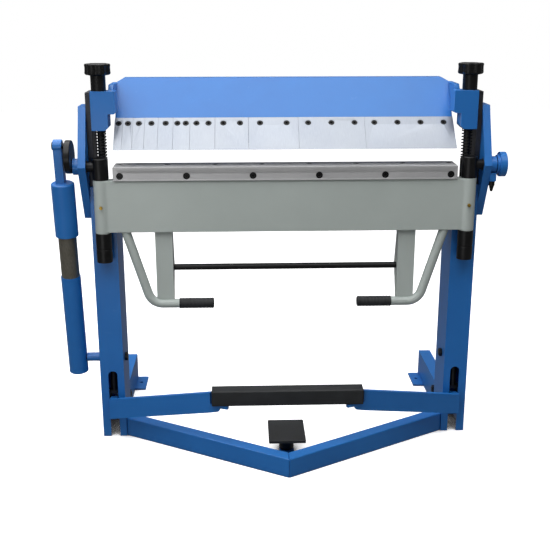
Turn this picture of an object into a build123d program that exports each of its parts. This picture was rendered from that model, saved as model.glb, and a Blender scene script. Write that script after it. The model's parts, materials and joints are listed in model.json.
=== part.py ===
"""Foot-operated box and pan brake: a folding apron hung in front of a fixed bed, a finger clamp above it."""

import math
import os

from build123d import *

os.makedirs("parts", exist_ok=True)

# The fold line, which is the pivot axis of the apron: its height, and how far ahead of the floor bolts it is.
fold_z = 887.0
fold_y = -452.0

# Working width and the finger set, left to right, with the bolts measured from the left end.
work_width = 1020.0
finger_widths = [25, 30, 35, 40, 45, 50, 75, 100, 150, 200, 270]
finger_bolts_at = [
    12.5, 40, 72.5, 110, 152.5, 187.5, 212.5, 244.5, 280.5, 325,
    375, 435, 515, 580, 650, 720, 780, 850, 920, 990,
]
finger_gap = 0.4
finger_thick = 20.0
throat = 47.0
nose_back = 2.0

# Blade, die and apron.
blade_high = 40.5
blade_thick = 21.7
die_deep = 62.0
die_thick = 30.0
apron_bottom = 690.0
apron_top = 846.2
apron_front = -17.0
apron_back = 24.0
boss_x = 549.0
boss_r = 23.0
shaft_r = 11.0
head_low = 848.2
head_high = 912.0
trunnion_r = 15.0

# Side frames.
column_in = 513.0
column_out = 588.0
column_front = 27.0
column_deep = 128.0
column_high = 810.0
cap_thick = 10.0
wall = 5.0
slot_wide = 29.0
slot_top = 226.0
cheek_thick = 22.5
hub_r = 24.0
hub_long = 16.0
bush_r = 19.0
guide_thick = 16.3
guide_clear = 1.5

# Clamp, pull rods and springs share one vertical axis behind the apron bosses.
rod_y = 52.0
rod_r = 10.5
bracket_top = 1102.0
knob_low = 1147.0
knob_thick = 33.0
spring_low = 897.0
spring_high = 988.0
spring_r = 14.5
wire_r = 2.0
coils = 10.5

# Treadle.
pedal_y = 210.0
pedal_z = 68.0
pedal_pin_r = 8.0
lever_thick = 20.0
link_z = 102.0
bar_y = -137.0
bar_z = 208.0
bar_half = 229.0

# Base and floor bolts.
base_high = 61.0
base_thick = 3.0
leg_slope = 0.5855
apex_y = -269.0
leg_wide = 40.0
foot_high = 95.0
foot_back = 511.0
foot_in = 528.0
foot_out = 570.0
bolt_x = 510.0
bolt_y = 452.0
bolt_hole_r = 6.0
tab_thick = 6.0

# Balance strut, left side.
strut_x = -664.0
strut_low_y = 74.0
strut_low_z = 259.0
crank_high = 61.5
strut_r = 34.5
piston_r = 27.5
barrel_r = 30.0

sides = (("l", -1), ("r", 1))


def side(x):
    """Upright plane across X; local axes run rearward and up from the fold line."""
    return Plane(origin=(x, fold_y, fold_z), x_dir=(0, 1, 0), z_dir=(1, 0, 0))


def wing(x):
    """The same upright plane, with heights from the floor."""
    return Plane(origin=(x, fold_y, 0), x_dir=(0, 1, 0), z_dir=(1, 0, 0))


def level(z):
    """Flat plane at a height; local axes run right and rearward from the fold line."""
    return Plane(origin=(0, fold_y, z), x_dir=(1, 0, 0), z_dir=(0, 0, 1))


def front(y):
    """Plane facing forward, so a positive extrusion comes towards the operator; heights from the floor."""
    return Plane(origin=(0, fold_y + y, 0), x_dir=(1, 0, 0), z_dir=(0, -1, 0))


def save(built, name):
    built.part.label = name
    export_step(built.part, f"parts/{name}.step")


# Columns: square tube with a cap, a slot for the treadle lever in front and a short one behind.
for name, s in sides:
    middle = s * (column_in + column_out) / 2
    with BuildPart() as column:
        with BuildSketch(level(0)):
            with Locations((middle, column_front + column_deep / 2)):
                Rectangle(column_out - column_in, column_deep)
                Rectangle(column_out - column_in - 2 * wall, column_deep - 2 * wall, mode=Mode.SUBTRACT)
        extrude(amount=column_high)
        with BuildSketch(level(column_high)):
            with Locations((middle, column_front + column_deep / 2)):
                Rectangle(column_out - column_in, column_deep)
            with Locations((s * boss_x, rod_y)):
                Circle(rod_r + 1, mode=Mode.SUBTRACT)
        extrude(amount=cap_thick)
        with BuildSketch(front(column_front - 1)):
            with Locations((s * boss_x, (slot_top - slot_wide / 2) / 2 - 1)):
                Rectangle(slot_wide, slot_top - slot_wide / 2 + 2)
            with Locations((s * boss_x, slot_top - slot_wide / 2)):
                Circle(slot_wide / 2)
        extrude(amount=-(wall + 2), mode=Mode.SUBTRACT)
        with BuildSketch(front(column_front + column_deep - wall - 1)):
            with Locations((s * boss_x, 59)):
                Rectangle(slot_wide + 1, 120)
        extrude(amount=-(wall + 2), mode=Mode.SUBTRACT)
        if s < 0:
            with BuildSketch(wing(-column_out)):
                with Locations((strut_low_y, strut_low_z)):
                    Circle(14)
            extrude(amount=strut_x + barrel_r + column_out + 1)
        with BuildSketch(wing(s * (column_in - 1))):
            with Locations((strut_low_y, strut_low_z)):
                Circle(10.05)
        extrude(amount=s * 130, mode=Mode.SUBTRACT)
    save(column, f"column_{name}")

# Cheeks: thick pentagonal side plates that carry the apron trunnions, each with a bearing hub outside.
with BuildPart() as cheeks:
    for name, s in sides:
        with BuildSketch(wing(s * column_out)):
            with BuildLine():
                Polyline((-28, 887), (41, 1058), (113, 1058), (128, 887), (128, 721), (48, 721), close=True)
            make_face()
        extrude(amount=s * cheek_thick)
        with BuildSketch(side(s * (column_out + cheek_thick))):
            Circle(hub_r)
        extrude(amount=s * hub_long)
        with BuildSketch(side(s * (column_out - 1))):
            Circle(bush_r)
        extrude(amount=s * (cheek_thick + hub_long + 2), mode=Mode.SUBTRACT)
    with BuildSketch(wing(column_out + cheek_thick)):
        with Locations((0, 850)):
            Rectangle(28, 26)
        with Locations((0, fold_z)):
            Circle(bush_r + 1, mode=Mode.SUBTRACT)
    extrude(amount=hub_long + 2)
save(cheeks, "cheeks")

# Bronze bushes in the cheeks.
with BuildPart() as bushes:
    for name, s in sides:
        with BuildSketch(side(s * column_out)):
            Circle(bush_r - 0.05)
            Circle(trunnion_r + 0.05, mode=Mode.SUBTRACT)
        extrude(amount=s * (cheek_thick + hub_long))
save(bushes, "pivot_bushes")

# Guide uprights: dark slideways inside the cheeks that keep the clamp brackets square.
# The knobs stop just above them.
guide_top = knob_low - throat - guide_clear
with BuildPart() as guides:
    for name, s in sides:
        with BuildSketch(wing(s * (column_out - guide_thick))):
            with Locations((78, (column_high + cap_thick + guide_top) / 2)):
                Rectangle(80, guide_top - column_high - cap_thick)
        extrude(amount=s * guide_thick)
save(guides, "guide_uprights")

# Spring seats: short tubes on the column caps.
with BuildPart() as seats:
    for name, s in sides:
        with BuildSketch(level(column_high + cap_thick)):
            with Locations((s * boss_x, rod_y)):
                Circle(spring_r + wire_r)
                Circle(rod_r + 1, mode=Mode.SUBTRACT)
        extrude(amount=spring_low - column_high - cap_thick)
save(seats, "spring_seats")

# Return springs round the pull rods.
with BuildPart() as springs:
    for name, s in sides:
        with BuildLine(level(spring_low + wire_r + 0.2)) as coil:
            Helix(
                pitch=(spring_high - spring_low - 2 * wire_r - 0.6) / coils,
                height=spring_high - spring_low - 2 * wire_r - 0.6,
                radius=spring_r,
                center=(s * boss_x, rod_y, 0),
            )
        with BuildSketch(Plane(origin=coil.line @ 0, z_dir=coil.line % 0)):
            Circle(wire_r)
        sweep(path=coil.line, is_frenet=True)
save(springs, "return_springs")

# Fixed bed: folded box between the columns, kept back from the apron's sweep.
bed_outer = [(32, 857), (die_deep, 857), (120, 800), (120, 722), (32, 722)]
bed_inner = [(40, 849), (59, 849), (112, 797), (112, 730), (40, 730)]
with BuildPart() as bed:
    with BuildSketch(wing(-column_in)):
        with BuildLine():
            Polyline(*bed_outer, close=True)
        make_face()
        with BuildLine():
            Polyline(*bed_inner, close=True)
        make_face(mode=Mode.SUBTRACT)
    extrude(amount=2 * column_in)
    for name, s in sides:
        with BuildSketch(wing(s * work_width / 2)):
            with Locations((76, 840)):
                Rectangle(120, 60)
        extrude(amount=s * 10, mode=Mode.SUBTRACT)
save(bed, "bed_beam")

# Die bar on the bed, with a row of countersunk screws.
die_y = 31.0
die_screws = [-493.5 + 141 * i for i in range(8)]
with BuildPart() as die:
    with BuildSketch(wing(-work_width / 2)):
        with Locations(((0.3 + die_deep) / 2, fold_z - die_thick / 2)):
            Rectangle(die_deep - 0.3, die_thick)
    extrude(amount=work_width)
    with BuildSketch(level(fold_z)):
        with Locations(*[(x, die_y) for x in die_screws]):
            Circle(9.2)
    extrude(amount=-5, taper=45, mode=Mode.SUBTRACT)
    with BuildSketch(level(fold_z)):
        with Locations(*[(x, die_y) for x in die_screws]):
            Circle(4.4)
    extrude(amount=-(die_thick - 1), mode=Mode.SUBTRACT)
save(die, "bed_die")

with BuildPart() as dieScrews:
    with BuildSketch(level(fold_z - 0.5)):
        with Locations(*[(x, die_y) for x in die_screws]):
            Circle(8.6)
    extrude(amount=-4.5, taper=45)
    with BuildSketch(level(fold_z - 4)):
        with Locations(*[(x, die_y) for x in die_screws]):
            Circle(4.0)
    extrude(amount=-20)
    with BuildSketch(level(fold_z - 0.5)):
        with Locations(*[(x, die_y) for x in die_screws]):
            RegularPolygon(3.2, 6)
    extrude(amount=-4, mode=Mode.SUBTRACT)
save(dieScrews, "die_screws")

# Rear feet: box sections running back from the columns, with inward floor tabs.
foot_mid = (foot_in + foot_out) / 2
column_back = column_front + column_deep
with BuildPart() as feet:
    for name, s in sides:
        with BuildSketch(front(column_back)):
            with Locations((s * foot_mid, foot_high / 2)):
                Rectangle(foot_out - foot_in, foot_high)
                Rectangle(foot_out - foot_in - 8, foot_high - 8, mode=Mode.SUBTRACT)
        extrude(amount=-(foot_back - column_back))
        with BuildSketch(front(foot_back - 4)):
            with Locations((s * foot_mid, foot_high / 2)):
                Rectangle(foot_out - foot_in, foot_high)
        extrude(amount=-4)
        with BuildSketch(level(foot_high - 6)):
            with Locations((s * boss_x, column_back + 32)):
                Rectangle(slot_wide + 1, 66)
        extrude(amount=8, mode=Mode.SUBTRACT)
        with BuildSketch(level(0)):
            with Locations((s * (foot_in - 18), bolt_y - 2)):
                Rectangle(40, 112)
            with Locations((s * bolt_x, bolt_y)):
                Circle(bolt_hole_r, mode=Mode.SUBTRACT)
        extrude(amount=tab_thick)
        with BuildSketch(wing(s * (foot_in - 1))):
            with Locations((pedal_y, pedal_z)):
                Circle(pedal_pin_r + 0.05)
        extrude(amount=s * (foot_out - foot_in + 2), mode=Mode.SUBTRACT)
save(feet, "rear_feet")

# Treadle pivot bolts across the rear feet.
with BuildPart() as pedalPins:
    for name, s in sides:
        with BuildSketch(wing(s * (foot_in - 12))):
            with Locations((pedal_y, pedal_z)):
                Circle(pedal_pin_r)
        extrude(amount=s * (foot_out - foot_in + 14))
        with BuildSketch(wing(s * (foot_in - 10))):
            with Locations((pedal_y, pedal_z)):
                RegularPolygon(12, 6, major_radius=False)
        extrude(amount=s * 9.7)
        with BuildSketch(wing(s * (foot_out + 0.3))):
            with Locations((pedal_y, pedal_z)):
                RegularPolygon(12, 6, major_radius=False)
        extrude(amount=s * 8)
save(pedalPins, "treadle_pivots")

# Base legs: rectangular tube from each column to the mitred apex in front.
leg_y = leg_wide / math.cos(math.atan(leg_slope))
skin_y = base_thick / math.cos(math.atan(leg_slope))
with BuildPart() as legs:
    for name, s in sides:
        foot_y = apex_y + leg_slope * column_in
        with BuildSketch(level(0)):
            with BuildLine():
                Polyline(
                    (s * column_in, foot_y), (s * 0.1, apex_y), (s * 0.1, apex_y + leg_y),
                    (s * column_in, foot_y + leg_y), close=True,
                )
            make_face()
        extrude(amount=base_high)
        inside_y = apex_y + skin_y + leg_slope * 8
        with BuildSketch(level(base_thick)):
            with BuildLine():
                Polyline(
                    (s * (column_in - 4), inside_y + leg_slope * (column_in - 12)),
                    (s * 8, inside_y),
                    (s * 8, inside_y + leg_y - 2 * skin_y),
                    (s * (column_in - 4), inside_y + leg_y - 2 * skin_y + leg_slope * (column_in - 12)),
                    close=True,
                )
            make_face()
        extrude(amount=base_high - 2 * base_thick, mode=Mode.SUBTRACT)
save(legs, "base_legs")

# Treadle stop: strap between the legs with a tongue under the stem, then the stem and its pad.
stop_y = -82.0
strap_front = -160.0
strap_back = -118.0
stem_r = 23.0
inner_y = apex_y + leg_y
with BuildPart() as strap:
    with BuildSketch(level(0)):
        with BuildLine():
            Polyline(
                (-(strap_front - inner_y) / leg_slope, strap_front),
                ((strap_front - inner_y) / leg_slope, strap_front),
                ((strap_back - inner_y) / leg_slope, strap_back),
                (-(strap_back - inner_y) / leg_slope, strap_back),
                close=True,
            )
        make_face()
        with Locations((0, (strap_back + stop_y) / 2)):
            Rectangle(2 * stem_r, stop_y - strap_back)
        with Locations((0, stop_y)):
            Circle(stem_r)
    extrude(amount=6)
save(strap, "stop_strap")

with BuildPart() as stem:
    with BuildSketch(level(6)):
        with Locations((0, stop_y)):
            Circle(stem_r)
    extrude(amount=50)
save(stem, "stop_stem")

with BuildPart() as pad:
    with BuildSketch(level(56)):
        with Locations((0, stop_y)):
            RectangleRounded(114, 150, 4)
    extrude(amount=9)
    fillet(pad.faces().sort_by(Axis.Z)[-1].edges(), 1.5)
save(pad, "stop_pad")

# Upper beam: folded box with a sloping front panel, a seat for the fingers at 45 degrees below it.
nose_z = fold_z + throat
face_up = 85.0
thick_flat = finger_thick * math.sqrt(2)
top_y = nose_back + face_up
top_z = nose_z + face_up
beam_outer = [
    (50, 953.4), (101.44, 1004.86), (top_y + 0.3, top_z), (175.7, 1129.7), (216, 1129.7), (216, 975), (66, 945),
]
beam_inner = [
    (67, 956), (112.5, 1001.5), (99.5, 1017), (180.5, 1119.7), (206, 1119.7), (206, 983), (73, 956.6),
]
beam_half = 509.0
with BuildPart() as beam:
    with BuildSketch(wing(-beam_half)):
        with BuildLine():
            Polyline(*beam_outer, close=True)
        make_face()
    extrude(amount=2 * beam_half)
    with BuildSketch(wing(-beam_half + 8)):
        with BuildLine():
            Polyline(*beam_inner, close=True)
        make_face()
    extrude(amount=2 * beam_half - 16, mode=Mode.SUBTRACT)
    for name, s in sides:
        with BuildSketch(front(150)):
            with BuildLine():
                Polyline(
                    (s * (beam_half - 20), 1130), (s * (beam_half + 1), 1130), (s * (beam_half + 1), 1118.4),
                    close=True,
                )
            make_face()
        extrude(amount=-80, mode=Mode.SUBTRACT)
    for at in finger_bolts_at:
        with BuildSketch(Plane(
            origin=(at - work_width / 2, fold_y + nose_back + 70 - 5, nose_z + 70 + 5),
            x_dir=(1, 0, 0), z_dir=(0, 1, -1),
        )):
            Circle(6.05)
        extrude(amount=42, mode=Mode.SUBTRACT)
save(beam, "upper_beam")

# Fingers: clamping segments, each with its own counterbored bolt holes.
edge = 0.0
number = 0
for width in finger_widths:
    number += 1
    low_x = edge - work_width / 2 + finger_gap / 2
    with BuildPart() as finger:
        with BuildSketch(wing(low_x)):
            with BuildLine():
                Polyline(
                    (nose_back, nose_z), (top_y, top_z),
                    (top_y + thick_flat / 2, top_z - thick_flat / 2), (nose_back + thick_flat, nose_z),
                    close=True,
                )
            make_face()
        extrude(amount=width - finger_gap)
        for at in finger_bolts_at:
            if edge < at < edge + width:
                seat = Plane(
                    origin=(at - work_width / 2, fold_y + nose_back + 70, nose_z + 70),
                    x_dir=(1, 0, 0), z_dir=(0, -1, 1),
                )
                with BuildSketch(seat):
                    Circle(9.3)
                extrude(amount=-11, mode=Mode.SUBTRACT)
                with BuildSketch(seat):
                    Circle(6.5)
                extrude(amount=-25, mode=Mode.SUBTRACT)
    save(finger, f"finger_{number:02d}")
    edge += width

# Socket screws that hold the fingers on the beam.
with BuildPart() as fingerBolts:
    for at in finger_bolts_at:
        head = Plane(
            origin=(at - work_width / 2, fold_y + nose_back + 70 + 0.7, nose_z + 70 - 0.7),
            x_dir=(1, 0, 0), z_dir=(0, -1, 1),
        )
        with BuildSketch(head):
            Circle(9)
        extrude(amount=-9.9)
        with BuildSketch(head):
            Circle(6)
        extrude(amount=-30)
        with BuildSketch(head):
            RegularPolygon(5.2, 6)
        extrude(amount=-5, mode=Mode.SUBTRACT)
save(fingerBolts, "finger_bolts")

# End brackets: bored blocks that slide on the uprights, with a side plate onto the beam end.
bracket_out = column_out - guide_thick - 0.3
for name, s in sides:
    with BuildPart() as bracket:
        with BuildSketch(front(24)):
            with BuildLine():
                Polyline(
                    (s * bracket_out, bracket_top), (s * 500, bracket_top), (s * 500, 1040), (s * 504, 1036),
                    (s * 522, 1036), (s * 522, 998), (s * 532, 988), (s * bracket_out, 988), close=True,
                )
            make_face()
        extrude(amount=-58)
        with BuildSketch(wing(s * beam_half)):
            with BuildLine():
                Polyline(
                    (70, 1036), (70, bracket_top), (84, bracket_top + 15), (182, bracket_top + 15),
                    (196, 1100), (196, 1036), close=True,
                )
            make_face()
        extrude(amount=s * 15)
        with BuildSketch(level(980)):
            with Locations((s * boss_x, rod_y)):
                Circle(rod_r + 0.6)
        extrude(amount=130, mode=Mode.SUBTRACT)
    save(bracket, f"bracket_{name}")

# Pull rods: knob end above the brackets, forked end on the treadle levers inside the columns.
with BuildPart() as rods:
    for name, s in sides:
        with BuildSketch(level(143)):
            with Locations((s * boss_x, rod_y)):
                Circle(rod_r)
        extrude(amount=bracket_top + 20 - 143)
        with BuildSketch(front(rod_y - 11)):
            with Locations((s * boss_x, 121)):
                Rectangle(lever_thick + 21, 66)
            with Locations((s * boss_x, 115)):
                Rectangle(lever_thick + 1, 58, mode=Mode.SUBTRACT)
        extrude(amount=-22)
        with BuildSketch(wing(s * boss_x - (lever_thick + 21) / 2)):
            with Locations((rod_y, link_z)):
                Circle(5)
        extrude(amount=lever_thick + 21)
save(rods, "pull_rods")

# Clamping knobs and their stems.
for name, s in sides:
    with BuildPart() as knobStem:
        with BuildSketch(level(bracket_top + 0.3)):
            with Locations((s * boss_x, rod_y)):
                Circle(22)
        extrude(amount=knob_low - bracket_top - 0.3)
        with BuildSketch(level(bracket_top + 0.3)):
            with Locations((s * boss_x, rod_y)):
                Circle(rod_r + 0.08)
        extrude(amount=24, mode=Mode.SUBTRACT)
    save(knobStem, f"knob_stem_{name}")
    with BuildPart() as knob:
        with BuildSketch(level(knob_low)):
            with Locations((s * boss_x, rod_y)):
                Circle(38)
            for i in range(6):
                turn = math.radians(60 * i + 30)
                with Locations((s * boss_x + 49 * math.cos(turn), rod_y + 49 * math.sin(turn))):
                    Circle(16, mode=Mode.SUBTRACT)
        extrude(amount=knob_thick)
        fillet(knob.faces().sort_by(Axis.Z)[-1].edges(), 2.5)
    save(knob, f"knob_{name}")

# Apron beam: box tube that widens into an upright boss at each end.
with BuildPart() as apron:
    with BuildSketch(level(apron_bottom)):
        with Locations((0, (apron_front + apron_back) / 2)):
            Rectangle(2 * boss_x, apron_back - apron_front)
        with Locations((-boss_x, 0), (boss_x, 0)):
            Circle(boss_r)
    extrude(amount=apron_top - apron_bottom)
    with BuildSketch(level(apron_bottom - 4)):
        with Locations((-boss_x, 0), (boss_x, 0)):
            Circle(boss_r)
    extrude(amount=head_low - apron_bottom + 4)
    with BuildSketch(level(apron_bottom + 7)):
        with Locations((0, (apron_front + apron_back) / 2)):
            Rectangle(2 * boss_x - 60, apron_back - apron_front - 14)
    extrude(amount=apron_top - apron_bottom - 14, mode=Mode.SUBTRACT)
    with BuildSketch(level(apron_bottom - 10)):
        with Locations((-boss_x, 0), (boss_x, 0)):
            Circle(shaft_r + 0.05)
    extrude(amount=200, mode=Mode.SUBTRACT)
    with BuildSketch(front(-boss_r - 1)):
        with Locations((-boss_x, 767), (boss_x, 767)):
            Circle(3)
    extrude(amount=-10, mode=Mode.SUBTRACT)
save(apron, "apron_beam")

with BuildPart() as nipples:
    with BuildSketch(front(-boss_r + 7)):
        with Locations((-boss_x, 767), (boss_x, 767)):
            Circle(2.95)
    extrude(amount=8)
    with BuildSketch(front(-boss_r - 0.3)):
        with Locations((-boss_x, 767), (boss_x, 767)):
            RegularPolygon(5.5, 6)
    extrude(amount=4.5)
    with BuildSketch(front(-boss_r - 4.8)):
        with Locations((-boss_x, 767), (boss_x, 767)):
            Circle(3.2)
    extrude(amount=6)
save(nipples, "grease_nipples")

# Pivot heads: collar, trunnion and the threaded shaft that sets the apron height.
for name, s in sides:
    with BuildPart() as head:
        with BuildSketch(level(head_low)):
            with Locations((s * boss_x, 0)):
                Circle(boss_r)
        extrude(amount=head_high - head_low)
        fillet(head.faces().sort_by(Axis.Z)[-1].edges(), 4)
        with BuildSketch(side(s * boss_x)):
            Circle(trunnion_r)
        extrude(amount=s * (column_out + cheek_thick + hub_long + 2 - boss_x))
        with BuildSketch(level(612)):
            with Locations((s * boss_x, 0)):
                Circle(shaft_r)
        extrude(amount=head_low - 612)
    save(head, f"pivot_head_{name}")
    with BuildPart() as nut:
        with BuildSketch(level(596)):
            with Locations((s * boss_x, 0)):
                Circle(23.5)
        extrude(amount=apron_bottom - 4.3 - 596)
        with BuildSketch(level(636)):
            with Locations((s * boss_x, 0)):
                Circle(25)
                Circle(22, mode=Mode.SUBTRACT)
        extrude(amount=3, mode=Mode.SUBTRACT)
        with BuildSketch(level(610)):
            with Locations((s * boss_x, 0)):
                Circle(shaft_r + 0.05)
        extrude(amount=90, mode=Mode.SUBTRACT)
    save(nut, f"adjuster_nut_{name}")

# Bending blade and its socket screws.
blade_screws = [-490, -294, -98, 98, 294, 490]
blade_screw_z = 861.0
with BuildPart() as blade:
    with BuildSketch(wing(-work_width / 2)):
        with Locations((-0.3 - blade_thick / 2, fold_z - blade_high / 2)):
            Rectangle(blade_thick, blade_high)
    extrude(amount=work_width)
    with BuildSketch(front(-0.3 - blade_thick)):
        with Locations(*[(x, blade_screw_z) for x in blade_screws]):
            Circle(10.3)
    extrude(amount=-10, mode=Mode.SUBTRACT)
    with BuildSketch(front(-0.3 - blade_thick)):
        with Locations(*[(x, blade_screw_z) for x in blade_screws]):
            Circle(6.3)
    extrude(amount=-blade_thick + 4, mode=Mode.SUBTRACT)
save(blade, "bending_blade")

with BuildPart() as bladeScrews:
    with BuildSketch(front(-blade_thick + 0.1)):
        with Locations(*[(x, blade_screw_z) for x in blade_screws]):
            Circle(10)
    extrude(amount=-9.2)
    with BuildSketch(front(-blade_thick + 0.1)):
        with Locations(*[(x, blade_screw_z) for x in blade_screws]):
            Circle(6)
    extrude(amount=-16.5)
    with BuildSketch(front(-blade_thick + 0.1)):
        with Locations(*[(x, blade_screw_z) for x in blade_screws]):
            RegularPolygon(5.5, 6)
    extrude(amount=-5.5, mode=Mode.SUBTRACT)
save(bladeScrews, "blade_screws")

# Lift handles: bent tube under the apron, with grips towards the middle.
handle_y = 0.0
handle_r = 14.0
handle_top_x = 485.0
handle_bend_x = 412.0
handle_z = 461.0
grip_in = 221.0
grip_out = 328.0
with BuildPart() as handles:
    for name, s in sides:
        with BuildLine(front(handle_y)) as path:
            FilletPolyline(
                (s * handle_top_x, 700), (s * handle_bend_x, handle_z), (s * (grip_in + 4), handle_z),
                radius=46,
            )
        with BuildSketch(Plane(origin=path.line @ 0, z_dir=path.line % 0)):
            Circle(handle_r)
        sweep(path=path.line)
        with BuildSketch(level(apron_bottom)):
            with Locations((s * handle_top_x, handle_y)):
                Rectangle(60, 60)
        extrude(amount=40, mode=Mode.SUBTRACT)
save(handles, "lift_handles")

with BuildPart() as grips:
    for name, s in sides:
        grip_end = (s * grip_in, fold_y + handle_y, handle_z)
        with BuildSketch(Plane(origin=grip_end, x_dir=(0, 1, 0), z_dir=(s, 0, 0))):
            Circle(16.5)
        extrude(amount=grip_out - grip_in)
        tube_end = (s * (grip_in + 4), fold_y + handle_y, handle_z)
        with BuildSketch(Plane(origin=tube_end, x_dir=(0, 1, 0), z_dir=(s, 0, 0))):
            Circle(handle_r + 0.3)
        extrude(amount=grip_out - grip_in, mode=Mode.SUBTRACT)
save(grips, "handle_grips")

# Posts: bent channels down to the handle tubes, tied by a cross rod.
post_in = 343.0
with BuildPart() as posts:
    for name, s in sides:
        with BuildSketch(wing(s * post_in)):
            with BuildLine():
                Polyline((-4, apron_bottom), (28, apron_bottom), (60, 570), (14, 464), (-4, 464), close=True)
            make_face()
        extrude(amount=s * 52)
        with BuildSketch(wing(s * (post_in + 4))):
            with BuildLine():
                Polyline((0, apron_bottom + 1), (70, apron_bottom + 1), (70, 463), (0, 463), close=True)
            make_face()
        extrude(amount=s * 44, mode=Mode.SUBTRACT)
        with BuildLine(front(handle_y)) as run:
            FilletPolyline(
                (s * handle_top_x, 700), (s * handle_bend_x, handle_z), (s * (grip_in + 4), handle_z),
                radius=46,
            )
        with BuildSketch(Plane(origin=run.line @ 0, z_dir=run.line % 0)):
            Circle(handle_r + 0.1)
        sweep(path=run.line, mode=Mode.SUBTRACT)
save(posts, "apron_posts")

with BuildPart() as tie:
    with BuildSketch(wing(-post_in + 0.3)):
        with Locations((22, 571)):
            Circle(9.5)
    extrude(amount=2 * post_in - 0.6)
save(tie, "cross_rod")

# Crank disc on the left trunnion, stop disc on the right one.
stub = column_out + cheek_thick + hub_long + 2
with BuildPart() as crank:
    with BuildSketch(side(-stub)):
        with Locations((0, 29)):
            Circle(49)
    extrude(amount=-18)
    chamfer(crank.edges().filter_by(GeomType.CIRCLE), 1.5)
save(crank, "crank_disc")

with BuildPart() as stopDisc:
    with BuildSketch(side(stub)):
        Circle(28)
    extrude(amount=8)
    with BuildSketch(side(stub + 8)):
        Circle(37)
    extrude(amount=19)
save(stopDisc, "stop_disc")

with BuildPart() as stopScrew:
    with BuildSketch(level(836.7)):
        with Locations((column_out + cheek_thick + 9, 0)):
            Circle(9)
    extrude(amount=-14)
    with BuildSketch(level(822.7)):
        with Locations((column_out + cheek_thick + 9, 0)):
            Circle(8)
    extrude(amount=-18, taper=14)
save(stopScrew, "stop_screw")

# Balance strut between the crank and a pin on the left column.
strut_long = math.hypot(strut_low_y, fold_z + crank_high - strut_low_z)
lean = (0, -strut_low_y / strut_long, (fold_z + crank_high - strut_low_z) / strut_long)


def along(s):
    """Plane across the strut at a distance above its lower pin."""
    return Plane(
        origin=(strut_x, fold_y + strut_low_y + lean[1] * s, strut_low_z + lean[2] * s),
        x_dir=(1, 0, 0), z_dir=lean,
    )


with BuildPart() as barrel:
    with BuildSketch(along(-48)):
        Circle(barrel_r)
    extrude(amount=48 + 282)
    with BuildSketch(along(200)):
        Circle(piston_r + 0.05)
    extrude(amount=90, mode=Mode.SUBTRACT)
    with BuildSketch(along(-42)):
        Circle(24)
    extrude(amount=250, mode=Mode.SUBTRACT)
    with BuildSketch(wing(strut_x)):
        with Locations((strut_low_y, strut_low_z)):
            Circle(10.05)
    extrude(amount=40, mode=Mode.SUBTRACT)
save(barrel, "strut_barrel")

with BuildPart() as piston:
    with BuildSketch(along(202)):
        Circle(piston_r)
        Circle(piston_r - 3.5, mode=Mode.SUBTRACT)
    extrude(amount=460 - 202)
save(piston, "strut_tube")

with BuildPart() as sleeve:
    with BuildSketch(along(415)):
        Circle(strut_r)
    extrude(amount=167)
    chamfer(sleeve.edges().filter_by(GeomType.CIRCLE).sort_by(Axis.Z)[-1], 4)
    with BuildSketch(along(415)):
        Circle(piston_r + 0.3)
    extrude(amount=160, mode=Mode.SUBTRACT)
    with BuildSketch(Plane(
        origin=(strut_x - 17, fold_y + strut_low_y, strut_low_z),
        x_dir=(0, -lean[2], -strut_low_y / strut_long), z_dir=(1, 0, 0),
    )):
        with Locations((0, -(580 + strut_long) / 2)):
            Rectangle(34, strut_long - 580)
        with Locations((0, -strut_long)):
            Circle(19)
            Circle(8.05, mode=Mode.SUBTRACT)
    extrude(amount=26)
save(sleeve, "strut_sleeve")

with BuildPart() as crankPin:
    with BuildSketch(wing(-(stub + 18.3))):
        with Locations((0, fold_z + crank_high)):
            Circle(8)
    extrude(amount=-36)
    with BuildSketch(wing(strut_x - 17.2)):
        with Locations((0, fold_z + crank_high)):
            Circle(12)
    extrude(amount=-4)
save(crankPin, "crank_pin")

with BuildPart() as strutBolts:
    with BuildSketch(wing(strut_x + 10)):
        with Locations((strut_low_y, strut_low_z)):
            Circle(10)
    extrude(amount=-strut_x - 10 - column_in + 9)
    with BuildSketch(wing(-column_in + 0.2)):
        with Locations((strut_low_y, strut_low_z)):
            RegularPolygon(12, 6, major_radius=False)
    extrude(amount=9)
    with BuildSketch(wing(column_in - 11)):
        with Locations((strut_low_y, strut_low_z)):
            Circle(10)
    extrude(amount=column_out - column_in + 11)
    with BuildSketch(wing(column_in - 9.2)):
        with Locations((strut_low_y, strut_low_z)):
            RegularPolygon(12, 6, major_radius=False)
    extrude(amount=9)
save(strutBolts, "strut_bolts")

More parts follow.
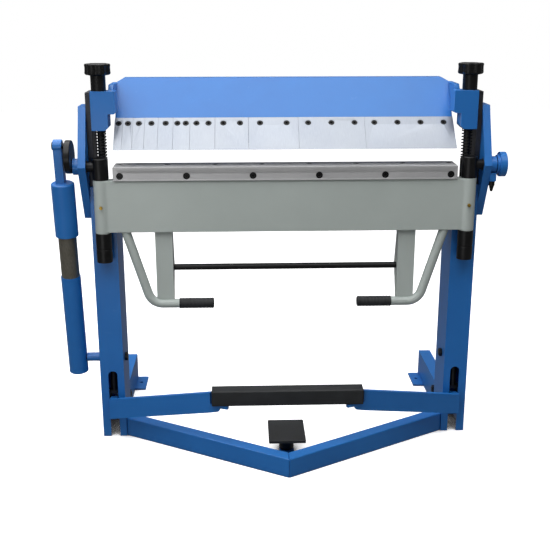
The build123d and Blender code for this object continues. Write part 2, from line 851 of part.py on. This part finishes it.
# Treadle levers: through the column slots, then angled arms to the foot bar.
arm_start = (541.0, -14.0)
arm_end = (232.0, -134.0)
arm_long = math.hypot(arm_start[0] - arm_end[0], arm_start[1] - arm_end[1])
arm_x = (arm_start[0] - arm_end[0]) / arm_long
arm_y = (arm_start[1] - arm_end[1]) / arm_long
for name, s in sides:
    with BuildPart() as lever:
        with BuildSketch(wing(s * boss_x - lever_thick / 2)):
            with BuildLine():
                Polyline(
                    (pedal_y - 4, pedal_z + 21.5), (-14, 148), (-14, 82), (pedal_y - 4, pedal_z - 21.5),
                    close=True,
                )
            make_face()
            with Locations((pedal_y, pedal_z)):
                Circle(22)
        extrude(amount=lever_thick)
        with BuildSketch(Plane(
            origin=(s * arm_start[0], fold_y + arm_start[1], 0),
            x_dir=(-s * arm_x, -arm_y, 0), z_dir=(-arm_y, s * arm_x, 0),
        )):
            with BuildLine():
                Polyline(
                    (-16, 80), (-16, 146), (arm_long, 221), (arm_long, 182.5), (arm_long + 56, 182.5),
                    (arm_long + 56, 173), (arm_long + 31, 173), (arm_long + 26, 162), (arm_long, 155),
                    close=True,
                )
            make_face()
        extrude(amount=6, both=True)
        with BuildSketch(wing(s * boss_x - lever_thick / 2 - 1)):
            with Locations((pedal_y, pedal_z)):
                Circle(pedal_pin_r + 0.05)
            with Locations((rod_y, link_z)):
                SlotOverall(24, 12)
        extrude(amount=lever_thick + 2, mode=Mode.SUBTRACT)
    save(lever, f"treadle_arm_{name}")

with BuildPart() as bar:
    with BuildSketch(wing(-arm_end[0] + 2.8)):
        with Locations((bar_y, bar_z)):
            Rectangle(40, 42)
            Rectangle(34, 36, mode=Mode.SUBTRACT)
    extrude(amount=2 * arm_end[0] - 5.6)
save(bar, "treadle_bar")

with BuildPart() as cover:
    with BuildSketch(wing(-bar_half)):
        with Locations((bar_y, bar_z)):
            RectangleRounded(47, 49, 5)
            Rectangle(40.2, 42.2, mode=Mode.SUBTRACT)
    extrude(amount=2 * bar_half)
save(cover, "treadle_cover")
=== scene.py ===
import bpy
import bmesh
import json
from math import atan2, cos, pi, radians, sin, sqrt
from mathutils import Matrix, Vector


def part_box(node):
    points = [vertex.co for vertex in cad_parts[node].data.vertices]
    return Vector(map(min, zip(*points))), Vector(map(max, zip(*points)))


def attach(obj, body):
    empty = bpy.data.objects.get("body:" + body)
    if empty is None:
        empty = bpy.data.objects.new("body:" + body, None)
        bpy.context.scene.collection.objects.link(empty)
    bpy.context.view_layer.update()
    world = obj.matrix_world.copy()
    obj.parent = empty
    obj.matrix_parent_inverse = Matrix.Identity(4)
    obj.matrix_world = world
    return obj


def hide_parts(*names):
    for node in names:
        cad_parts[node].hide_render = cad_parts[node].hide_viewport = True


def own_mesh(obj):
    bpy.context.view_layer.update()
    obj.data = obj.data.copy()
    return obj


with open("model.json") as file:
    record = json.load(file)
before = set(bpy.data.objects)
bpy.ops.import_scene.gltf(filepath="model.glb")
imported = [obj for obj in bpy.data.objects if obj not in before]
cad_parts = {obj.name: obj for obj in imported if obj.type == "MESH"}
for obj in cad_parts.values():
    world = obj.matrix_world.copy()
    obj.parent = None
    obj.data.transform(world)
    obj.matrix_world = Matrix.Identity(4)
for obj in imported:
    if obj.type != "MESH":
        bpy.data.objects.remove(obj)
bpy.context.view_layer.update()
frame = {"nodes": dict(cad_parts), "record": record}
record = frame["record"]
bodyOf = {}
for bodyName, members in record["behaviour"]["bodies"].items():
    for member in members:
        bodyOf[member] = bodyName
slotOf = {row["node"]: row["material_slot"] for row in record["subparts"]}
jointOf = {joint["name"]: joint for joint in record["behaviour"]["joints"]}
mm = 0.001
print("frame loaded:", len(frame["nodes"]), "nodes")


# sRGB hex to linear, with full alpha.
def hexColour(text):
    channels = [int(text[i:i + 2], 16) / 255 for i in (0, 2, 4)]
    linear = [c / 12.92 if c <= 0.04045 else ((c + 0.055) / 1.055) ** 2.4 for c in channels]
    return (*linear, 1.0)


def newMaterial(name):
    mat = bpy.data.materials.new(name)
    mat.use_nodes = True
    mat.node_tree.nodes.clear()
    return mat


# Settings go to sockets by name or number, or else to the node; links name a socket, or i6 for socket 6.
def addNode(mat, kind, settings=None, **links):
    node = mat.node_tree.nodes.new(kind)
    for key, value in (settings or {}).items():
        if key == "stops":
            for stop, (place, colour) in zip(node.color_ramp.elements, value):
                stop.position, stop.color = place, colour
        elif isinstance(key, int) or key in node.inputs:
            node.inputs[key].default_value = value
        else:
            setattr(node, key, value)
    for key, source in links.items():
        spot = int(key[1:]) if key[1:].isdigit() else key.replace("_", " ")
        mat.node_tree.links.new(source, node.inputs[spot])
    return node


def finishMaterial(mat, shader):
    out = mat.node_tree.nodes.new("ShaderNodeOutputMaterial")
    mat.node_tree.links.new(shader.outputs[0], out.inputs["Surface"])
    return mat


# Powder coat: a baked plastic skin with faint orange peel, painted shade in its corners and a few pale
# scuffs.
def powderCoat(name, coat):
    mat = newMaterial(name)
    place = addNode(mat, "ShaderNodeTexCoord").outputs["Object"]
    drift = addNode(mat, "ShaderNodeTexNoise", {
        "Scale": 1000 / coat["driftMm"], "Detail": 4.0, "Roughness": 0.6}, Vector=place).outputs["Fac"]
    tone = addNode(mat, "ShaderNodeValToRGB", {
        "stops": [(0.32, hexColour(coat["deep"])), (0.68, hexColour(coat["light"]))]}, Fac=drift)
    # painted shade: ambient occlusion darkens the coat towards a darker tone in corners, recesses and
    # between parts
    corners = addNode(mat, "ShaderNodeAmbientOcclusion", {"Distance": coat["cornerShadeMm"] * mm, "samples": 8})
    cornerShade = addNode(mat, "ShaderNodeValToRGB", {
        "stops": [(0.25, hexColour(coat["cornerShadeTone"])), (0.9, (1, 1, 1, 1))]}, Fac=corners.outputs["AO"])
    tinted = addNode(mat, "ShaderNodeMix", {"data_type": "RGBA", "blend_type": "MULTIPLY", 0: 0.65},
                     i6=tone.outputs["Color"], i7=cornerShade.outputs["Color"])
    scuff = addNode(mat, "ShaderNodeTexNoise", {
        "Scale": 1000 / coat["scuffMm"], "Detail": 2.0, "Distortion": 1.4}, Vector=place)
    scuffMask = addNode(mat, "ShaderNodeValToRGB", {
        "stops": [(0.70, (0, 0, 0, 1)), (0.76, (0.10, 0.10, 0.10, 1))]}, Fac=scuff.outputs["Fac"])
    worn = addNode(mat, "ShaderNodeMix", {"data_type": "RGBA", 7: hexColour(coat["worn"])},
                   i0=scuffMask.outputs["Color"], i6=tinted.outputs[2])
    rough = addNode(mat, "ShaderNodeMapRange", {
        "To Min": coat["rough"] - 0.05, "To Max": coat["rough"] + 0.09}, Value=drift)
    peel = addNode(mat, "ShaderNodeTexNoise", {"Scale": 1000 / coat["peelMm"], "Detail": 2.0},
                   Vector=place)
    bump = addNode(mat, "ShaderNodeBump", {"Strength": coat["peel"], "Distance": 0.0006},
                   Height=peel.outputs["Fac"])
    shader = addNode(mat, "ShaderNodeBsdfPrincipled", {
        "IOR": 1.5, "Coat Weight": coat["coat"], "Coat Roughness": 0.12,
    }, Base_Color=worn.outputs[2], Roughness=rough.outputs["Result"], Normal=bump.outputs["Normal"])
    return finishMaterial(mat, shader)


# Ground, milled or drawn metal: a straight lay stretches the highlights, and a faint veil dulls patches.
def cutSteel(name, steel):
    mat = newMaterial(name)
    place = addNode(mat, "ShaderNodeTexCoord").outputs["Object"]
    stretch = addNode(mat, "ShaderNodeMapping", {"Scale": steel["stretch"]}, Vector=place)
    lay = addNode(mat, "ShaderNodeTexNoise", {
        "Scale": 1000 / steel["layMm"], "Detail": 5.0, "Roughness": 0.7,
    }, Vector=stretch.outputs["Vector"]).outputs["Fac"]
    blotch = addNode(mat, "ShaderNodeTexNoise", {"Scale": 1000 / steel["blotchMm"], "Detail": 3.0},
                     Vector=place)
    base = addNode(mat, "ShaderNodeValToRGB", {
        "stops": [(0.3, hexColour(steel["deep"])), (0.7, hexColour(steel["light"]))]}, Fac=lay)
    veil = addNode(mat, "ShaderNodeValToRGB", {
        "stops": [(0.35, (1, 1, 1, 1)), (0.75, hexColour(steel["veil"]))]}, Fac=blotch.outputs["Fac"])
    mixed = addNode(mat, "ShaderNodeMix", {"data_type": "RGBA", "blend_type": "MULTIPLY", 0: 0.5},
                    i6=base.outputs["Color"], i7=veil.outputs["Color"])
    rough = addNode(mat, "ShaderNodeMapRange", {
        "To Min": steel["rough"] - 0.06, "To Max": steel["rough"] + 0.10}, Value=lay)
    bump = addNode(mat, "ShaderNodeBump", {"Strength": steel["bump"], "Distance": 0.0002}, Height=lay)
    shader = addNode(mat, "ShaderNodeBsdfPrincipled", {
        "Metallic": steel["metal"], "Anisotropic": 0.4,
    }, Base_Color=mixed.outputs[2], Roughness=rough.outputs["Result"], Normal=bump.outputs["Normal"])
    return finishMaterial(mat, shader)


# Black finishes: near black with cloudy tone and a fine grain, so edges carry a soft sheen.
def darkFinish(name, dark):
    mat = newMaterial(name)
    place = addNode(mat, "ShaderNodeTexCoord").outputs["Object"]
    cloud = addNode(mat, "ShaderNodeTexNoise", {"Scale": 1000 / dark["cloudMm"], "Detail": 4.0},
                    Vector=place).outputs["Fac"]
    base = addNode(mat, "ShaderNodeValToRGB", {
        "stops": [(0.3, hexColour(dark["deep"])), (0.7, hexColour(dark["light"]))]}, Fac=cloud)
    rough = addNode(mat, "ShaderNodeMapRange", {
        "To Min": dark["rough"] - 0.06, "To Max": dark["rough"] + 0.08}, Value=cloud)
    grain = addNode(mat, "ShaderNodeTexNoise", {"Scale": 1000 / dark["grainMm"], "Detail": 3.0},
                    Vector=place)
    bump = addNode(mat, "ShaderNodeBump", {"Strength": dark["bump"], "Distance": 0.0004},
                   Height=grain.outputs["Fac"])
    shader = addNode(mat, "ShaderNodeBsdfPrincipled", {
        "Metallic": dark["metal"], "Specular IOR Level": dark["sheen"],
    }, Base_Color=base.outputs["Color"], Roughness=rough.outputs["Result"], Normal=bump.outputs["Normal"])
    return finishMaterial(mat, shader)


# Lay and grain are drawn coarser than real cutting marks, which would be too fine to see.
# Baked blue powder coat on welded steel: smooth, softly glossy, slightly paler where it is rubbed.
# the third colour of each coat is the painted shade laid into its corners and recesses
machineBlue = {"deep": "2070c0", "light": "2477c8", "cornerShadeTone": "8fa3bd", "worn": "5f97d6", "driftMm": 220.0,
               "cornerShadeMm": 22.0, "scuffMm": 38.0, "peelMm": 1.6, "peel": 0.08, "rough": 0.36, "coat": 0.20}
# The same coat in pale grey on the apron: duller, so it reads as an even satin.
apronGrey = {"deep": "b6bfbb", "light": "bcc5c1", "cornerShadeTone": "a9aeac", "worn": "c9cfcc", "driftMm": 240.0,
             "cornerShadeMm": 18.0, "scuffMm": 44.0, "peelMm": 1.8, "peel": 0.08, "rough": 0.42, "coat": 0.10}
# Hardened and ground fingers: cool pale grey with an upright lay.
fingerSteel = {"deep": "9a9fa7", "light": "a6abb3", "veil": "e8ecf4", "stretch": (1.0, 0.06, 0.06),
               "layMm": 1.2, "blotchMm": 140.0, "rough": 0.42, "bump": 0.04, "metal": 0.6}
# Milled blade and die: warmer grey with a lay along the bar.
bladeSteel = {"deep": "c2c2c3", "light": "d2d2d3", "veil": "e2e2e4", "stretch": (0.05, 1.0, 1.0),
              "layMm": 1.4, "blotchMm": 160.0, "rough": 0.42, "bump": 0.05, "metal": 0.42}
# Cold-drawn strut tube: brownish grey, streaked along its length.
tubeSteel = {"deep": "77746a", "light": "969287", "veil": "d8d4c8", "stretch": (1.0, 1.0, 0.08),
             "layMm": 1.5, "blotchMm": 60.0, "rough": 0.30, "bump": 0.05, "metal": 0.7}
# Machined cast-iron slideways: dark grey and oily.
slideSteel = {"deep": "45464a", "light": "5a5b60", "veil": "d8d8dc", "stretch": (1.0, 1.0, 0.1),
              "layMm": 1.6, "blotchMm": 70.0, "rough": 0.45, "bump": 0.06, "metal": 1.0}
# Bored bronze bushes: dull gold.
bearingBronze = {"deep": "8a6a3c", "light": "b08a50", "veil": "d8c8a8", "stretch": (0.2, 1.0, 1.0),
                 "layMm": 1.0, "blotchMm": 30.0, "rough": 0.3, "bump": 0.05, "metal": 1.0}
# Turned brass grease fittings: small bright yellow points.
turnedBrass = {"deep": "a98a3e", "light": "c9aa58", "veil": "e0d2a8", "stretch": (1.0, 0.2, 1.0),
               "layMm": 0.8, "blotchMm": 12.0, "rough": 0.28, "bump": 0.05, "metal": 1.0}
# Black-oxided turned steel: screws, shafts, springs and nuts with a faint oily shine.
blackOxide = {"deep": "0a0a0b", "light": "131314", "cloudMm": 24.0, "rough": 0.34, "grainMm": 1.2,
              "bump": 0.06, "metal": 0.15, "sheen": 0.4}
# Moulded phenolic knobs and grips: a deeper, smoother black.
mouldedBlack = {"deep": "080808", "light": "0f0f0f", "cloudMm": 18.0, "rough": 0.36, "grainMm": 0.9,
                "bump": 0.10, "metal": 0.0, "sheen": 0.4}
# Moulded rubber on the foot bar: matt charcoal with a pebbled grain.
treadRubber = {"deep": "1c1e20", "light": "26282b", "cloudMm": 40.0, "rough": 0.60, "grainMm": 1.4,
               "bump": 0.22, "metal": 0.0, "sheen": 0.5}

finishes = {
    "blue_paint": powderCoat("powderCoatedSteelBlue", machineBlue),
    "grey_paint": powderCoat("powderCoatedSteelGrey", apronGrey),
    "dark_oxide": darkFinish("blackOxideTurnedSteel", blackOxide),
    "black_plastic": darkFinish("phenolicMouldedBlack", mouldedBlack),
    "black_rubber": darkFinish("rubberMouldedTread", treadRubber),
    "ground_steel": cutSteel("hardenedSteelGround", fingerSteel),
    "milled_steel": cutSteel("bladeSteelMilled", bladeSteel),
    "dark_tube": cutSteel("hydraulicTubeDrawn", tubeSteel),
    "guide_steel": cutSteel("castIronMachined", slideSteel),
    "bronze": cutSteel("bronzeBored", bearingBronze),
    "brass_fitting": cutSteel("brassTurned", turnedBrass),
}
print("finishes made:", len(finishes))


def link(name, mesh, slotName, body):
    piece = bpy.data.objects.new(name, mesh)
    bpy.context.scene.collection.objects.link(piece)
    mesh.materials.clear()
    mesh.materials.append(finishes[slotName])
    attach(piece, body)
    return piece


def breakEdges(piece, width, degrees):
    bevel = piece.modifiers.new("brokenEdge", "BEVEL")
    bevel.width = width * mm
    bevel.segments = 2
    bevel.limit_method = "ANGLE"
    bevel.angle_limit = radians(degrees)
    bevel.harden_normals = True


# A copy of each CAD node with its burrs taken off stands for it; widths of the broken edges are in mm.
edgeBreak = {
    "column_l": 3.0, "column_r": 3.0, "base_legs": 3.0, "rear_feet": 2.5, "bracket_l": 2.5, "bracket_r": 2.5,
    "bed_beam": 2.0, "cheeks": 1.6, "upper_beam": 1.6, "stop_disc": 1.5, "strut_sleeve": 1.5,
    "treadle_arm_l": 1.5, "treadle_arm_r": 1.5, "treadle_bar": 1.5, "strut_barrel": 1.2, "apron_posts": 1.2,
    "guide_uprights": 1.2, "pivot_head_l": 1.2, "pivot_head_r": 1.2, "adjuster_nut_l": 1.2,
    "adjuster_nut_r": 1.2, "treadle_cover": 1.2, "stop_strap": 1.0, "stop_stem": 1.0, "stop_pad": 1.0,
    "knob_stem_l": 1.0, "knob_stem_r": 1.0, "lift_handles": 0.8, "bed_die": 0.8, "cross_rod": 0.8,
    "crank_disc": 0.8, "spring_seats": 0.8, "strut_bolts": 0.8, "treadle_pivots": 0.8, "crank_pin": 0.8,
    "bending_blade": 0.7, "pull_rods": 0.6, "stop_screw": 0.6, "finger_bolts": 0.5, "strut_tube": 0.5,
    "blade_screws": 0.4, "grease_nipples": 0.4, "die_screws": 0.3,
}
fingerCount, fingerBreak = 11, 0.5
for number in range(1, fingerCount + 1):
    edgeBreak[f"finger_{number:02d}"] = fingerBreak
cleaning = {"weldMm": 0.004, "flatDegrees": 0.4, "sharpDegrees": 32, "edgeDegrees": 38}


def brokenEdges(nodeName, width):
    mesh = frame["nodes"][nodeName].data.copy()
    mesh.name = nodeName + "Finished"
    work = bmesh.new()
    work.from_mesh(mesh)
    bmesh.ops.remove_doubles(work, verts=work.verts, dist=cleaning["weldMm"] * mm)
    bmesh.ops.dissolve_limit(work, angle_limit=radians(cleaning["flatDegrees"]), verts=work.verts,
                             edges=work.edges)
    work.to_mesh(mesh)
    work.free()
    mesh.shade_smooth()
    mesh.set_sharp_from_angle(angle=radians(cleaning["sharpDegrees"]))
    piece = link(nodeName + ".finished", mesh, slotOf[nodeName], bodyOf[nodeName])
    breakEdges(piece, width, cleaning["edgeDegrees"])
    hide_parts(nodeName)


for nodeName in sorted(edgeBreak):
    brokenEdges(nodeName, edgeBreak[nodeName])
for nodeName, node in frame["nodes"].items():
    for holder in node.material_slots:
        holder.link = "OBJECT"
        holder.material = finishes[slotOf[nodeName]]
print("edges broken:", len(edgeBreak))


def meshFrom(name, points, faces, sharpDegrees):
    mesh = bpy.data.meshes.new(name)
    mesh.from_pydata(points, [], faces)
    mesh.validate()
    mesh.shade_smooth()
    mesh.set_sharp_from_angle(angle=radians(sharpDegrees))
    return mesh


turnedSharp = 34  # degrees between faces that count as an edge on a turned piece


# Spins a profile of (radius, height) in mm about an axis through origin; flute(angle, radius) cuts it back.
def turned(name, profile, steps, origin, axis, nodeName, flute=None):
    lean = Vector((0, 0, 1)).rotation_difference(Vector(axis)).to_matrix()
    points, faces = [], []
    for radius, height in profile:
        for i in range(steps):
            angle = 2 * pi * i / steps
            reach = radius - (flute(angle, radius) if flute else 0)
            spot = Vector((reach * cos(angle), reach * sin(angle), height))
            points.append(Vector(origin) + lean @ spot * mm)
    for row in range(len(profile) - 1):
        for i in range(steps):
            here, after = row * steps + i, row * steps + (i + 1) % steps
            faces.append((here, after, after + steps, here + steps))
    faces.append(tuple(range(steps - 1, -1, -1)))
    last = (len(profile) - 1) * steps
    faces.append(tuple(range(last, last + steps)))
    piece = link(name, meshFrom(name, points, faces, turnedSharp), slotOf[nodeName], bodyOf[nodeName])
    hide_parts(nodeName)


# Knobs: six-lobed moulded handwheels with a dished top and a cap over the screw.
knob = {"lobes": 6, "lobeCut": 5.0, "lobeSharp": 1.7, "rimFrom": 25.0, "rimFade": 8.0, "steps": 144,
        "profile": [(0.5, 0), (26, 0), (34, 1.2), (37, 3.6), (38, 7), (37.3, 12), (37.0, 22), (37.6, 27),
                    (38, 29), (37.2, 31.6), (34.6, 33), (28, 33), (26.4, 31.4), (13, 31.0), (12, 32.4),
                    (0.5, 32.8)]}


def knobFlute(angle, radius):
    wave = (0.5 + 0.5 * cos(knob["lobes"] * angle - pi)) ** knob["lobeSharp"]
    return knob["lobeCut"] * wave * min(1.0, max(0.0, (radius - knob["rimFrom"]) / knob["rimFade"]))


for side in ("l", "r"):
    low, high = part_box(f"knob_{side}")
    foot = ((low.x + high.x) / 2, (low.y + high.y) / 2, low.z)
    turned(f"knob.{side}", knob["profile"], knob["steps"], foot, (0, 0, 1), f"knob_{side}", knobFlute)
print("knobs made")

# Grips: soft sleeves with shallow finger grooves, closed at the free end.
grip = {"grooveMm": 10.5, "grooveCut": 0.7, "endRound": 3.5, "plainEnd": 6.0, "clearMm": 0.2, "steps": 48,
        "rings": 90}
gripNode = frame["nodes"]["handle_grips"]
gripPoints = [gripNode.matrix_world @ v.co for v in gripNode.data.vertices]
for side, sign in (("l", -1), ("r", 1)):
    mine = [v for v in gripPoints if v.x * sign > 0]
    near = min(abs(v.x) for v in mine)
    far = max(abs(v.x) for v in mine)
    midY = (min(v.y for v in mine) + max(v.y for v in mine)) / 2
    midZ = (min(v.z for v in mine) + max(v.z for v in mine)) / 2
    gripR = (max(v.z for v in mine) - min(v.z for v in mine)) / 2 / mm
    length = (far - near) / mm
    profile = [(0.5, 0)]
    for i in range(grip["rings"] + 1):
        along = length * i / grip["rings"]
        fromEnd = min(along, length - along)
        rounding = grip["endRound"] * max(0.0, 1 - fromEnd / grip["endRound"]) ** 2
        groove = grip["grooveCut"] * (0.5 - 0.5 * cos(2 * pi * along / grip["grooveMm"]))
        if fromEnd <= grip["plainEnd"]:
            groove = 0
        profile.append((gripR - grip["clearMm"] - rounding - groove, along))
    profile.append((0.5, length))
    turned(f"grip.{side}", profile, grip["steps"], (sign * near, midY, midZ), (sign, 0, 0), "handle_grips")
print("grips made")

# Return springs: coils with closed end turns, built at a single fixed length.
spring = {"wireMm": 2.0, "turns": 10.5, "closed": 0.9, "closedRise": 4.1, "stepsPerTurn": 28, "around": 12,
          "sharp": 50}
springLow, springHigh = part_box("return_springs")


def coilMesh(name, centreX, centreY):
    coilR = (springHigh.y - springLow.y) / 2 / mm - spring["wireMm"]
    tall = (springHigh.z - springLow.z) / mm - 2 * spring["wireMm"]
    openTurns = spring["turns"] - 2 * spring["closed"]
    openRise = (tall - 2 * spring["closed"] * spring["closedRise"]) / openTurns
    count = int(spring["turns"] * spring["stepsPerTurn"])
    around = spring["around"]
    points, faces = [], []
    for i in range(count + 1):
        turn = spring["turns"] * i / count
        early = min(turn, spring["closed"])
        late = max(0.0, turn - spring["turns"] + spring["closed"])
        height = spring["closedRise"] * (early + late) + openRise * (turn - early - late)
        outward = Vector((cos(2 * pi * turn), sin(2 * pi * turn), 0))
        middle = Vector((0, 0, spring["wireMm"] + height)) + outward * coilR
        for k in range(around):
            lean = 2 * pi * k / around
            spot = middle + (outward * cos(lean) + Vector((0, 0, sin(lean)))) * spring["wireMm"]
            points.append((centreX + spot.x * mm, centreY + spot.y * mm, springLow.z + spot.z * mm))
    for i in range(count):
        for k in range(around):
            here, after = i * around + k, i * around + (k + 1) % around
            faces.append((here, here + around, after + around, after))
    faces.append(tuple(range(around)))
    faces.append(tuple(range(count * around + around - 1, count * around - 1, -1)))
    return meshFrom(name, points, faces, spring["sharp"])


reachX = (springHigh.x - springLow.x) / 2 - (springHigh.y - springLow.y) / 2
length = springHigh.z - springLow.z
for side, sign in (("l", -1), ("r", 1)):
    centreX = (springLow.x + springHigh.x) / 2 + sign * reachX
    coil = link(f"spring.{side}", coilMesh(f"spring.{side}", centreX, (springLow.y + springHigh.y) / 2),
                slotOf["return_springs"], bodyOf["return_springs"])
    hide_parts("return_springs")
    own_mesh(coil)
print("springs made")

# Apron: box beam whose ends run into the upright bosses through soft weld blends.
apron = {"faceMm": 17.0, "bossR": 23.0, "bossX": 549.0, "blend": 20.0, "edge": 1.6, "edgeDegrees": 50,
         "sharp": 30, "blendSteps": 10, "bossSteps": 32, "collarR": 22.6, "collarEdge": 1.2,
         "collarSteps": 64, "tuckIn": 4.0, "tuckLow": 4.0, "tuckHigh": 2.0}
low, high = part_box("apron_beam")
axisY = jointOf["apron_fold"]["pos_m"][1]


# Right half of the beam seen from above: flat face, concave weld blend, then round the boss to its back.
def apronOutline():
    drop = apron["faceMm"] + apron["blend"]
    centreX = apron["bossX"] - sqrt((apron["bossR"] + apron["blend"]) ** 2 - drop ** 2)
    tangent = atan2(drop, apron["bossX"] - centreX)
    half = []
    for i in range(apron["blendSteps"] + 1):
        turn = pi / 2 + (tangent - pi / 2) * i / apron["blendSteps"]
        half.append((centreX + apron["blend"] * cos(turn), -drop + apron["blend"] * sin(turn)))
    for i in range(1, apron["bossSteps"] + 1):
        turn = tangent - pi + (1.5 * pi - tangent) * i / apron["bossSteps"]
        half.append((apron["bossX"] + apron["bossR"] * cos(turn), apron["bossR"] * sin(turn)))
    return half


backMm = (high.y - axisY) / mm
rightHalf = apronOutline() + [(apron["bossX"] - apron["tuckIn"], backMm)]
outline = rightHalf + [(-x, y) for x, y in reversed(rightHalf)]
beamLow, beamHigh = low.z + apron["tuckLow"] * mm, high.z - apron["tuckHigh"] * mm
points = [(x * mm, axisY + y * mm, z) for z in (beamLow, beamHigh) for x, y in outline]
count = len(outline)
faces = [(i, (i + 1) % count, count + (i + 1) % count, count + i) for i in range(count)]
faces.append(tuple(range(count - 1, -1, -1)))
faces.append(tuple(range(count, 2 * count)))
beamMesh = meshFrom("apronBeam", points, faces, apron["sharp"])
beam = link("apronBeam", beamMesh, slotOf["apron_beam"], bodyOf["apron_beam"])
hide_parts("apron_beam")
breakEdges(beam, apron["edge"], apron["edgeDegrees"])
bossHigh = (high.z - low.z) / mm
collarIn = apron["collarR"] - apron["collarEdge"]
collar = [(0.5, 0), (collarIn, 0), (apron["collarR"], apron["collarEdge"]),
          (apron["collarR"], bossHigh - apron["collarEdge"]), (collarIn, bossHigh), (0.5, bossHigh)]
for side, sign in (("l", -1), ("r", 1)):
    foot = (sign * apron["bossX"] * mm, axisY, low.z)
    turned(f"boss.{side}", collar, apron["collarSteps"], foot, (0, 0, 1), "apron_beam")
print("apron made")

# Studio: a pale floor inside four bright walls.
studio = {"floorSize": 40.0, "wallBack": 9.0, "wallHigh": 14.0, "wallGlow": 1.0, "worldGlow": 0.16,
          "floorTone": "f2f2f2", "shadeTone": "191919", "floorLift": 0.74, "glowNear": 2.2, "glowFar": 5.0,
          "shadeReach": 0.1, "shadeFrom": 0.28, "shadeTo": 0.5, "shadeGlow": 0.02}


def plainQuad(name, corners):
    mesh = bpy.data.meshes.new(name)
    mesh.from_pydata(corners, [], [(0, 1, 2, 3)])
    quad = bpy.data.objects.new(name, mesh)
    bpy.context.scene.collection.objects.link(quad)
    return quad


half = studio["floorSize"] / 2
floor = plainQuad("floor", [(-half, -half, 0), (half, -half, 0), (half, half, 0), (-half, half, 0)])
# the floor glows evenly to the walls; inside the columns shade is painted on, ambient occlusion darkening
# its colour and its glow
floorMat = newMaterial("studioFloorPainted")
floorPlace = addNode(floorMat, "ShaderNodeTexCoord").outputs["Object"]
reach = addNode(floorMat, "ShaderNodeVectorMath", {"operation": "LENGTH"}, Vector=floorPlace)
lift = addNode(floorMat, "ShaderNodeMapRange", {
    "From Min": studio["glowNear"], "From Max": studio["glowFar"], "To Min": studio["floorLift"],
}, Value=reach.outputs["Value"])
shade = addNode(floorMat, "ShaderNodeAmbientOcclusion", {"Distance": studio["shadeReach"], "samples": 12})
paintedShadeFactor = addNode(floorMat, "ShaderNodeMapRange", {
    "From Min": studio["shadeFrom"], "From Max": studio["shadeTo"], "To Min": studio["shadeGlow"],
}, Value=shade.outputs["AO"])
glow = addNode(floorMat, "ShaderNodeMath", {"operation": "MULTIPLY"}, i0=lift.outputs["Result"],
               i1=paintedShadeFactor.outputs["Result"])
tone = addNode(floorMat, "ShaderNodeMix", {
    "data_type": "RGBA", 6: hexColour(studio["shadeTone"]), 7: hexColour(studio["floorTone"]),
}, i0=paintedShadeFactor.outputs["Result"])
floorShader = addNode(floorMat, "ShaderNodeBsdfPrincipled", {
    "Roughness": 0.8, "Emission Color": (1, 1, 1, 1),
}, Base_Color=tone.outputs[2], Emission_Strength=glow.outputs["Value"])
finishMaterial(floorMat, floorShader)
floor.data.materials.append(floorMat)
wallMat = newMaterial("studioWallLit")
wallShader = addNode(wallMat, "ShaderNodeEmission", {"Strength": studio["wallGlow"]})
finishMaterial(wallMat, wallShader)
# the stage only fills the view: it neither mirrors in the paint nor lights or shades the object
stage = [floor]
up = Vector((0, 0, studio["wallHigh"]))
for quarter in range(4):
    turn = quarter * pi / 2
    along = Vector((cos(turn), sin(turn), 0)) * half
    out = Vector((-sin(turn), cos(turn), 0)) * studio["wallBack"]
    wall = plainQuad(f"wall{quarter}", [out - along, out + along, out + along + up, out - along + up])
    wall.data.materials.append(wallMat)
    wall.visible_shadow = False
    stage.append(wall)
for stagePiece in stage:
    stagePiece.visible_glossy = False
    stagePiece.visible_diffuse = False

world = bpy.data.worlds.new("studioAir")
bpy.context.scene.world = world
world.use_nodes = True
background = world.node_tree.nodes["Background"]
background.inputs["Color"].default_value = (1, 1, 1, 1)
background.inputs["Strength"].default_value = studio["worldGlow"]

# Lights: one broad soft box overhead, a weak fill from the front left, and a low card for the undersides.
lamps = {
    "topLight": {"place": (-1.0, -0.7, 3.4), "aim": (-0.8, -0.65, 0.6), "size": (6.0, 4.4), "power": 225.0},
    "fillLight": {"place": (-2.4, -4.4, 2.2), "aim": (0, -0.4, 0.6), "size": (2.6, 2.6), "power": 9.0},
    "lowCard": {"place": (-1.3, -3.5, 0.25), "aim": (-0.3, -0.45, 0.87), "size": (1.6, 0.9), "power": 8.0},
}
for name, lamp in lamps.items():
    light = bpy.data.lights.new(name, "AREA")
    light.shape = "RECTANGLE"
    light.size, light.size_y = lamp["size"]
    light.energy = lamp["power"]
    stand = bpy.data.objects.new(name, light)
    stand.location = lamp["place"]
    toward = Vector(lamp["aim"]) - Vector(lamp["place"])
    stand.rotation_euler = toward.to_track_quat("-Z", "Y").to_euler()
    bpy.context.scene.collection.objects.link(stand)

# Camera: a moderate telephoto above the bench height, a little left of the middle and looking down.
shot = {"place": (-0.1288, -3.1284, 1.3422), "down": 16.514, "right": 2.06, "tilt": 0.017, "lens": 59.52,
        "sensor": 36.0}
camera = bpy.data.cameras.new("studioCamera")
camera.lens = shot["lens"]
camera.sensor_width = shot["sensor"]
camera.dof.use_dof = False
cameraStand = bpy.data.objects.new("studioCamera", camera)
cameraStand.location = shot["place"]
cameraStand.rotation_euler = (radians(90 - shot["down"]), radians(shot["tilt"]), radians(-shot["right"]))
bpy.context.scene.collection.objects.link(cameraStand)
bpy.context.scene.camera = cameraStand
bpy.context.scene.view_settings.view_transform = "Standard"
print("studio set")
